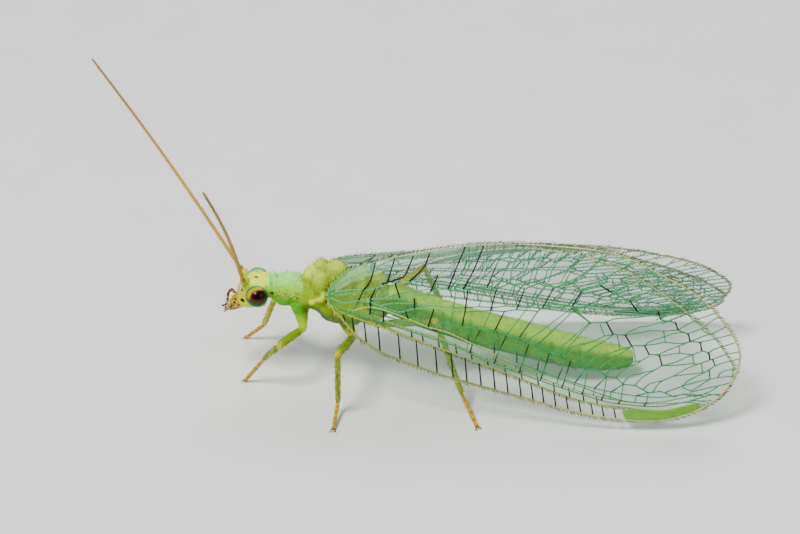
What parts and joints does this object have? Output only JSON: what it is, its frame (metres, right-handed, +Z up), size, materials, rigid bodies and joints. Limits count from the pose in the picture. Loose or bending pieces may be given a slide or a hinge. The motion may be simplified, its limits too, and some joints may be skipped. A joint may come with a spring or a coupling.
{
  "type": "green lacewing",
  "caption": "Still life-size model of a green lacewing standing with its net-veined wings folded like a roof over a slim body, long feelers raised.",
  "frame": {"origin": "on the ground plane, under the middle of the whole insect's bounding box", "axes": "-X to the head, -Y to the insect's left side, +Z up"},
  "size_m": [0.024, 0.0104, 0.0118],
  "materials": {
    "head_cuticle": "waxy yellow-green cuticle with grey-violet and black marks",
    "compound_eye": "glossy faceted eye, golden top, dark centre, green rim",
    "antenna_cuticle": "golden brown ringed whip with fine bristles",
    "body_cuticle": "soft yellow-green cuticle, paler on top",
    "leg_cuticle": "green, yellow at the knees, amber at the feet",
    "claw": "dark brown horny claw",
    "wing_membrane": "clear, thin, faintly iridescent film",
    "wing_vein": "mint-green tubes with dark brown crossveins",
    "bristle": "fine pale and dark hairs"
  },
  "bodies": {
    "root": {"head": "head_cuticle", "eye_left": "compound_eye", "eye_right": "compound_eye", "antenna_left": "antenna_cuticle", "antenna_right": "antenna_cuticle", "prothorax": "body_cuticle", "mesothorax": "body_cuticle", "metathorax": "body_cuticle", "abdomen_front": "body_cuticle", "abdomen_middle": "body_cuticle", "abdomen_rear": "body_cuticle", "leg_front_left_upper": "leg_cuticle", "leg_front_left_lower": "leg_cuticle", "leg_front_right_upper": "leg_cuticle", "leg_front_right_lower": "leg_cuticle", "leg_mid_left_upper": "leg_cuticle", "leg_mid_left_lower": "leg_cuticle", "leg_mid_right_upper": "leg_cuticle", "leg_mid_right_lower": "leg_cuticle", "leg_hind_left_upper": "leg_cuticle", "leg_hind_left_lower": "leg_cuticle", "leg_hind_right_upper": "leg_cuticle", "leg_hind_right_lower": "leg_cuticle", "forewing_left": "wing_membrane", "forewing_right": "wing_membrane", "hindwing_left": "wing_membrane", "hindwing_right": "wing_membrane"}
  },
  "joints": []
}
